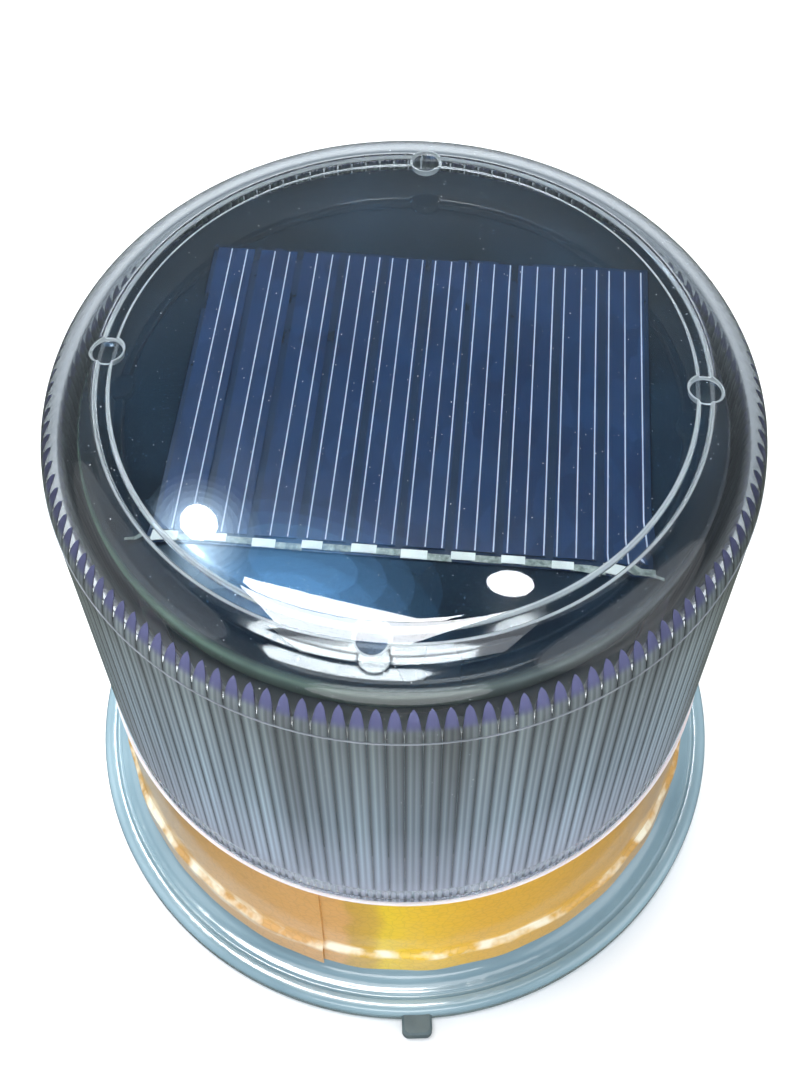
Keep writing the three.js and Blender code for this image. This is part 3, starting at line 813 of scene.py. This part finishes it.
def rib_section(width, depth):
    """Angles from a rib's middle, and depths, across its two rounded crests."""
    points = []
    steps = 8
    for i in range(steps + 1):
        across = -1 + 2 * i / steps
        crest = 0.72 + 0.28 * abs(math.sin(math.pi * across))
        points.append((across * width / 2, depth * crest * (1 - across ** 6)))
    return points


def rib_ring(z, middle):
    """The outline of one rib at a height, as radii and angles."""
    back = lens_inner_radius(z) + EMBED
    rise = max(0.0, (z - RIB_SHOULDER) / (RIB_TIP - RIB_SHOULDER))
    width = RIB_PITCH * RIB_SHARE * math.sqrt(max(1 - rise ** 1.7, 0.0004))
    crest = lens_inner_radius(FILLET_Z) - RIB_DEPTH
    depth = max(back - crest, 0.05) if rise > 0 else RIB_DEPTH
    front = [(back - d, middle + a) for a, d in rib_section(width, depth)]
    return [(back, middle + width / 2), *reversed(front[1:-1]), (back, middle - width / 2), (back, middle)]


def add_ribs():
    """Ribs down the inside of the wall. Each ends in a pointed arch where the shoulder curves in."""
    heights = [RIB_BOTTOM, *range(80, 141, 20), RIB_SHOULDER]
    heights += [RIB_SHOULDER + (RIB_TIP - RIB_SHOULDER) * i / 10 for i in range(1, 11)]
    shapes = []
    for k in range(RIBS):
        vertices, rings = [], []
        for z in heights:
            outline = rib_ring(z, RIB_PITCH * (k + 0.5))
            rings.append([len(vertices) + i for i in range(len(outline))])
            vertices += [place(radius, angle, z) for radius, angle in outline]
        faces = ring_faces(rings, inside_out=True)
        faces += [tuple(rings[0]), tuple(reversed(rings[-1]))]
        shapes.append((vertices, faces))
    add_piece("lens_ribs", joined(shapes), materials["ribs"], ["lens"], sharp=50)


def add_seal():
    middle = (seal_low.z + seal_high.z) / 2
    profile = [(SEAL_INNER, seal_low.z), (seal_high.x, seal_low.z)]
    profile += arc(seal_high.x + SEAL_STAND, middle, SEAL_BULGE, -80, 80, 8)
    profile += [(seal_high.x, seal_high.z), (SEAL_INNER, seal_high.z)]
    add_piece("seal_ring", lathe(profile, 192), materials["silicone"], ["lens_seal"])


# Base ----------------------------------------------------------------------------------------------------

def base_profile():
    """Once round the housing's section: flange, groove, wall, seat, deck, floor and the cover's rebate."""
    top = FLANGE_TOP
    profile = [(REBATE_RADIUS, 0), (FLANGE_RADIUS - 1.2, 0)]
    profile += arc(FLANGE_RADIUS - FLANGE_FOOT_EDGE, FLANGE_FOOT_EDGE, FLANGE_FOOT_EDGE, -90, 0, 4)
    profile += arc(FLANGE_RADIUS - FLANGE_EDGE, top - FLANGE_EDGE, FLANGE_EDGE, 0, 84, 8)
    profile += [(GROOVE_RADIUS + GROOVE_HALF, top)]
    profile += arc(GROOVE_RADIUS, top + GROOVE_RISE, GROOVE_SIZE, -22, -158, 8)
    profile += [(GROOVE_RADIUS - GROOVE_HALF, top)]
    profile += arc(WALL_FOOT_RADIUS + WALL_FILLET, top + WALL_FILLET, WALL_FILLET, 270, 180, 12)
    profile += [(wall_radius(WALL_ROW), WALL_ROW), (WALL_TOP_RADIUS, BASE_TOP - BASE_EDGE),
                (WALL_TOP_RADIUS - BASE_EDGE, BASE_TOP), (SEAT_RADIUS, BASE_TOP), (SEAT_RADIUS, DECK_TOP),
                (DECK_HOLE, DECK_TOP),
                (DECK_HOLE, DECK_UNDERSIDE), (wall_radius(DECK_UNDERSIDE) - BASE_WALL, DECK_UNDERSIDE),
                (wall_radius(FLOOR_TOP) - BASE_WALL, FLOOR_TOP), (OPENING_RADIUS, FLOOR_TOP),
                (OPENING_RADIUS, REBATE_DEPTH), (REBATE_RADIUS, REBATE_DEPTH)]
    return profile


def add_base():
    base = add_mesh("base_shell", lathe(base_profile(), TURNED_SIDES))
    for i in range(3):
        low, high = millimetres(f"mounting_insert_{i + 1}")
        middle = (low + high) / 2
        hole = rounded_disc((high.x - low.x) / 2 + HOLE_GAP, -1, high.z + 0.3, 0.2, middle.x, middle.y)
        carve(base, add_mesh("hole", hole), "DIFFERENCE")
    settle(base, materials["housing"], ["base_housing"])


def add_lug():
    """A small tab on the flange, a little to the right of the front, with two rounded corners."""
    inner = FLANGE_RADIUS - LUG_EMBED
    outline = [(-LUG_HALF, -inner)]
    for side, start in ((-1, 180), (1, 270)):
        for i in range(7):
            angle = math.radians(start + 90 * i / 6)
            outline.append((side * (LUG_HALF - LUG_CORNER) + LUG_CORNER * math.cos(angle),
                            -(LUG_REACH - LUG_CORNER) + LUG_CORNER * math.sin(angle)))
    outline.append((LUG_HALF, -inner))
    turn = Matrix.Rotation(math.radians(LUG_TURN), 3, "Z")
    vertices, rings = [], []
    for inset, z in LUG_LEVELS:
        pull = (LUG_HALF - inset) / LUG_HALF
        rings.append([len(vertices) + i for i in range(len(outline))])
        vertices += [turn @ Vector((x * pull, y + inset, z)) * MM for x, y in outline]
    faces = [tuple(reversed(rings[0])), tuple(rings[-1])] + ring_faces(rings)
    add_piece("mould_lug", (vertices, faces), materials["lug"], ["base_housing"])


def tape_lift(z, ripple):
    """How far the tape stands off the wall: it steps out over a crease and wrinkles there."""
    drop = min(max((TAPE_CREASE + TAPE_STEP_HALF - z) / (2 * TAPE_STEP_HALF), 0), 1)
    step = drop * drop * (3 - 2 * drop)
    near = math.exp(-((z - TAPE_CREASE) / TAPE_WRINKLE_REACH) ** 2)
    return TAPE_GAP + step * (TAPE_STEP + ripple) + TAPE_WRINKLE * ripple * near


def tape_points(levels):
    """The inner face of the tape and then the outer one, column by column from the outer end."""
    random.seed(4)
    waves = [(random.uniform(9, 30), random.uniform(0, 6.28), random.uniform(0.02, 0.06)) for _ in range(9)]
    points = []
    for thickness in (0, TAPE_THICKNESS):
        for i in range(TAPE_COLUMNS + 1):
            run = (360 + TAPE_OVERLAP) * i / TAPE_COLUMNS
            angle = TAPE_SEAM - run
            lifted = TAPE_END_LIFT * max(0.0, 1 - run / TAPE_END_RUN)
            droop = TAPE_DROOP * math.exp(-run / TAPE_DROOP_RUN)
            ripple = sum(size * math.sin(count * math.radians(angle) + phase)
                         for count, phase, size in waves)
            for level in levels:
                z = tape_low.z + level - droop * (1 - 0.6 * level / levels[-1])
                radius = wall_radius(z) + tape_lift(z, ripple) + lifted + thickness
                points.append(place(radius, angle, z))
    return points


def tape_faces(rows):
    """Both faces of the tape, its two long edges and its two ends."""
    stride = rows + 1
    layer = (TAPE_COLUMNS + 1) * stride
    faces = []
    for i in range(TAPE_COLUMNS):
        for j in range(rows):
            a, b = i * stride + j, (i + 1) * stride + j
            faces.append((a, b, b + 1, a + 1))
            faces.append((layer + a, layer + a + 1, layer + b + 1, layer + b))
    for i in range(TAPE_COLUMNS):
        for j, flip in ((0, False), (rows, True)):
            a, b = i * stride + j, (i + 1) * stride + j
            face = (a, layer + a, layer + b, b)
            faces.append(tuple(reversed(face)) if flip else face)
    for i, flip in ((0, True), (TAPE_COLUMNS, False)):
        for j in range(rows):
            a = i * stride + j
            face = (a, layer + a, layer + a + 1, a + 1)
            faces.append(tuple(reversed(face)) if flip else face)
    return faces


def add_tape():
    """A strip wound once round the wall. Its outer end overlaps the inner one and hangs a little lower."""
    levels = [0, 2, 4, 6, 7.5] + [8.2 + 0.4 * i for i in range(9)] + [13, 15, 19, 24, 29, 34, 39, 44]
    levels.append(tape_high.z - tape_low.z)
    shape = (tape_points(levels), tape_faces(len(levels) - 1))
    add_piece("tape_band", shape, materials["reflective_tape"], ["reflective_tape"])


# Solar panel ---------------------------------------------------------------------------------------------

def tray_profile():
    radius, bottom, top = tray_high.x, tray_low.z + SPIGOT_DROP, tray_high.z
    edge = TRAY_FOOT_EDGE
    profile = [(0, bottom), (radius - edge, bottom)]
    profile += arc(radius - edge, bottom + edge, edge, -90, 0, 4)
    profile += arc(radius - TRAY_ROUNDING, top - TRAY_FALL - TRAY_ROUNDING, TRAY_ROUNDING,
                   0, TRAY_RIM_ANGLE, 12)
    rim_radius, rim_z = profile[-1]
    steps = 14
    for i in range(1, steps + 1):
        share = 1 - i / steps
        profile.append((TRAY_FALL_START + (rim_radius - TRAY_FALL_START) * share,
                        top - (top - rim_z) * share ** 2))
    return profile + [(TRAY_FLAT_ROW, top), (0, top)]


def add_tray():
    """A glossy black disc with a broad rounded rim and a shallow pocket for the panel."""
    tray = add_mesh("tray_dish", lathe(tray_profile(), TURNED_SIDES))
    pocket = cuboid((panel_low.x - POCKET_GAP, panel_low.y - POCKET_GAP, panel_low.z - 0.05),
                    (panel_high.x + POCKET_GAP, panel_high.y + POCKET_GAP, tray_high.z + 1))
    carve(tray, add_mesh("pocket", pocket), "DIFFERENCE")
    settle(tray, materials["tray"], ["solar_tray"])
    low, high = tray_low.z, tray_low.z + SPIGOT_DROP - SPIGOT_GAP
    spigot = [(SPIGOT_INNER, low), (SPIGOT_OUTER, low), (SPIGOT_OUTER, high), (SPIGOT_INNER, high)]
    add_piece("tray_spigot", lathe(spigot, 64), materials["tray"], ["solar_tray"])


def add_fingers():
    """Silver lines along each cell strip: two on the first three strips and three on the others."""
    shapes = []
    random.seed(7)
    for i in range(CELLS):
        low, high = millimetres(f"solar_cell_{i + 1}")
        middle = (low.x + high.x) / 2
        offsets = (-1.0, 2.4) if i < 3 else (-3.2, 0.15, 3.5)
        for offset in offsets:
            x = middle + offset + random.uniform(-0.15, 0.15)
            shapes.append(cuboid((x - FINGER_HALF, low.y + FINGER_MARGIN, high.z),
                                 (x + FINGER_HALF, high.y - FINGER_MARGIN, high.z + FINGER_HEIGHT)))
    add_piece("cell_fingers", joined(shapes), materials["finger"])


def ribbon_end(tip, root, middle, z):
    """A thin end of the ribbon, which narrows and bends forward from its root to its tip."""
    outline = ((tip, middle - 1.6), (root, middle - 0.7), (root, middle + 0.3), (tip, middle - 1.1))
    corners = [Vector((x, y, level)) * MM for level in (z, z + END_THICKNESS) for x, y in outline]
    faces = [(0, 3, 2, 1), (4, 5, 6, 7), (0, 1, 5, 4), (1, 2, 6, 5), (2, 3, 7, 6), (3, 0, 4, 7)]
    if tip < root:
        faces = [tuple(reversed(face)) for face in faces]
    return corners, faces


def add_tab_ribbons():
    """The front ribbon: for each cell a bright soldered length and a dull one, stepped along its edge."""
    low, high = millimetres("front_ribbon")
    middle = (low.y + high.y) / 2
    bright, dull = [], []
    random.seed(11)
    for i in range(CELLS):
        cell_low, cell_high = millimetres(f"solar_cell_{i + 1}")
        y = middle + (0.25 * math.sin(2.1 * i) + random.uniform(-0.15, 0.15))
        split = cell_low.x + TAB_LENGTH + random.uniform(-0.6, 0.6)
        half = random.uniform(0.8, 0.95)
        bright.append(cuboid((cell_low.x - TAB_START, y - half, low.z + TAB_LIFT),
                             (split, y + half, low.z + TAB_LIFT + TAB_THICKNESS)))
        dull.append(cuboid((split - LINK_OVERLAP, y - LINK_FRONT, low.z),
                           (cell_high.x + LINK_REACH, y + LINK_BACK, low.z + LINK_THICKNESS)))
    for tip, root in ((low.x, low.x + 8), (high.x, high.x - 4)):
        dull.append(ribbon_end(tip, root, middle, low.z))
    add_piece("front_ribbon_tabs", joined(bright), materials["ribbon"], ["front_ribbon"])
    add_piece("front_ribbon_links", joined(dull), materials["dull_ribbon"], ["front_ribbon"])


add_lens()
add_parting_line()
add_lens_foot()
add_ribs()
add_seal()
add_base()
add_lug()
add_tape()
add_tray()
add_fingers()
add_tab_ribbons()


# Stage. Places and sizes of lights are in metres ---------------------------------------------------------

PAPER_HALF = 9000
PAPER_LOW = -10
PAPER_HIGH = -0.2
TOP_MIDDLE = (0, 0, 0.16)
LEFT_LAMP = (-0.350, 0.674)
LAMP_HEIGHT = 1.366


def add_floor():
    corners = ((-PAPER_HALF, -PAPER_HALF, PAPER_LOW), (PAPER_HALF, PAPER_HALF, PAPER_HIGH))
    floor = add_mesh("floor", cuboid(*corners))
    material = new_material("floor_paper", (0.94, 0.94, 0.94), 0.7)
    floor.data.materials.append(material)
    floor.visible_glossy = False


def add_light(name, location, target, size, power, color=(1, 1, 1), shape="ELLIPSE"):
    """An area light at a place, turned to a target."""
    data = bpy.data.lights.new(name, "AREA")
    data.shape = shape
    data.size, data.size_y = size
    data.energy = power
    data.color = color
    light = bpy.data.objects.new(name, data)
    light.location = location
    light.rotation_mode = "QUATERNION"
    light.rotation_quaternion = (Vector(target) - Vector(location)).to_track_quat("-Z", "Y")
    scene.collection.objects.link(light)


def add_glow(name, location, target, size, brightness, color):
    """An ellipse whose power follows from its brightness. Nested ones make a lamp's soft edge."""
    area = math.pi / 4 * size[0] * size[1]
    add_light(name, location, target, size, area * brightness, color)


def add_windows():
    """The window that the lens mirrors at the front, with a blue glow round it."""
    add_light("window", (-0.122, 0.508, 1.36), (-0.247, -0.132, 0.16), (0.31, 0.08), 3.2, shape="RECTANGLE")
    add_light("window_lower", (-0.125, 0.15, 1.36), (-0.18, -0.15, 0.16), (0.43, 0.56), 22,
              shape="RECTANGLE")
    glows = ((0.16, 0.09, 0), (0.24, 0.14, 0.012), (0.32, 0.19, 0.024), (0.40, 0.24, 0.036))
    for width, depth, rise in glows:
        add_glow("window_glow", (-0.20, 0.635, 1.40 + rise), (-0.30, 0, 0.16), (width, depth),
                 6.5 * (1 - rise / 0.05), (0.20, 0.52, 1.0))


def add_lamps():
    """The two lamps that the lens mirrors, the left one with a glow round it."""
    add_light("left_lamp", (*LEFT_LAMP, LAMP_HEIGHT), TOP_MIDDLE, (0.055, 0.055), 0.4)
    for width, brightness in ((0.075, 14), (0.095, 11), (0.115, 8), (0.135, 5.5), (0.155, 3.5), (0.175, 2)):
        add_glow("left_lamp_glow", (*LEFT_LAMP, 1.37 + width / 10), TOP_MIDDLE, (width, width),
                 brightness, (0.6, 0.8, 1.0))
    add_light("right_lamp", (0.089, 0.608, LAMP_HEIGHT), TOP_MIDDLE, (0.065, 0.04), 0.3)


def add_room_light():
    add_light("overhead", (0.03, -0.38, 1.35), (0, -0.06, 0.16), (0.9, 0.5), 4, shape="RECTANGLE")
    add_light("key", (-1.3, -0.3, 0.9), (0, 0, 0.1), (1.5, 1.5), 4.5, (0.94, 0.97, 1.0))
    add_light("fill", (1.2, -0.5, 0.7), (0, 0, 0.1), (1.3, 1.3), 4)
    add_light("front", (0.1, -1.4, 0.6), (0, 0, 0.08), (1.2, 0.4), 5)


def add_world():
    """Bluish light, strongest at the horizon and weaker overhead, over a dim surrounding."""
    world = bpy.data.worlds.new("studio")
    scene.world = world
    world.use_nodes = True
    nodes, links = world.node_tree.nodes, world.node_tree.links
    background = nodes["Background"]
    coordinates = nodes.new("ShaderNodeTexCoord")
    split = nodes.new("ShaderNodeSeparateXYZ")
    rise = nodes.new("ShaderNodeMath")
    rise.operation = "MULTIPLY_ADD"
    rise.inputs[1].default_value = 0.5
    rise.inputs[2].default_value = 0.5
    shade = nodes.new("ShaderNodeValToRGB")
    set_stops(shade, [(0.40, (0.16, 0.18, 0.15)), (0.485, (0.62, 0.70, 0.78)), (0.835, (0.66, 0.76, 0.84)),
                      (0.885, (0.20, 0.28, 0.38)), (0.97, (0.10, 0.14, 0.20))])
    links.new(coordinates.outputs["Generated"], split.inputs["Vector"])
    links.new(split.outputs["Z"], rise.inputs[0])
    links.new(rise.outputs[0], shade.inputs["Fac"])
    links.new(shade.outputs["Color"], background.inputs["Color"])
    background.inputs["Strength"].default_value = 0.7


def add_camera():
    """A pinhole camera at the place that the outlines of the lens, band and flange give."""
    distance, elevation, aim = 310.1, 57.637, 103.35
    side, roll, azimuth = -4.35, -1.547, 6.8
    rise, tilt = math.radians(elevation), math.radians(roll)
    forward = Vector((0, math.cos(rise), -math.sin(rise)))
    right = Vector((math.cos(tilt), math.sin(tilt) * math.sin(rise), math.sin(tilt) * math.cos(rise)))
    up = Vector((-math.sin(tilt), math.cos(tilt) * math.sin(rise), math.cos(tilt) * math.cos(rise)))
    turn = Matrix.Rotation(math.radians(azimuth), 3, "Z")
    rotation = Matrix((right, up, -forward)).transposed()
    data = bpy.data.cameras.new("camera")
    data.sensor_width = 36
    data.lens = 42.66
    data.shift_x = 0.0138
    data.shift_y = -0.0125
    camera = bpy.data.objects.new("camera", data)
    camera.rotation_mode = "QUATERNION"
    camera.rotation_quaternion = (turn @ rotation).to_quaternion()
    spot = Vector((side, -distance * math.cos(rise), aim + distance * math.sin(rise)))
    camera.location = turn @ spot * MM
    data.clip_start = 0.01
    data.clip_end = 20
    scene.collection.objects.link(camera)
    scene.camera = camera


add_floor()
add_world()
add_camera()
add_windows()
add_lamps()
add_room_light()
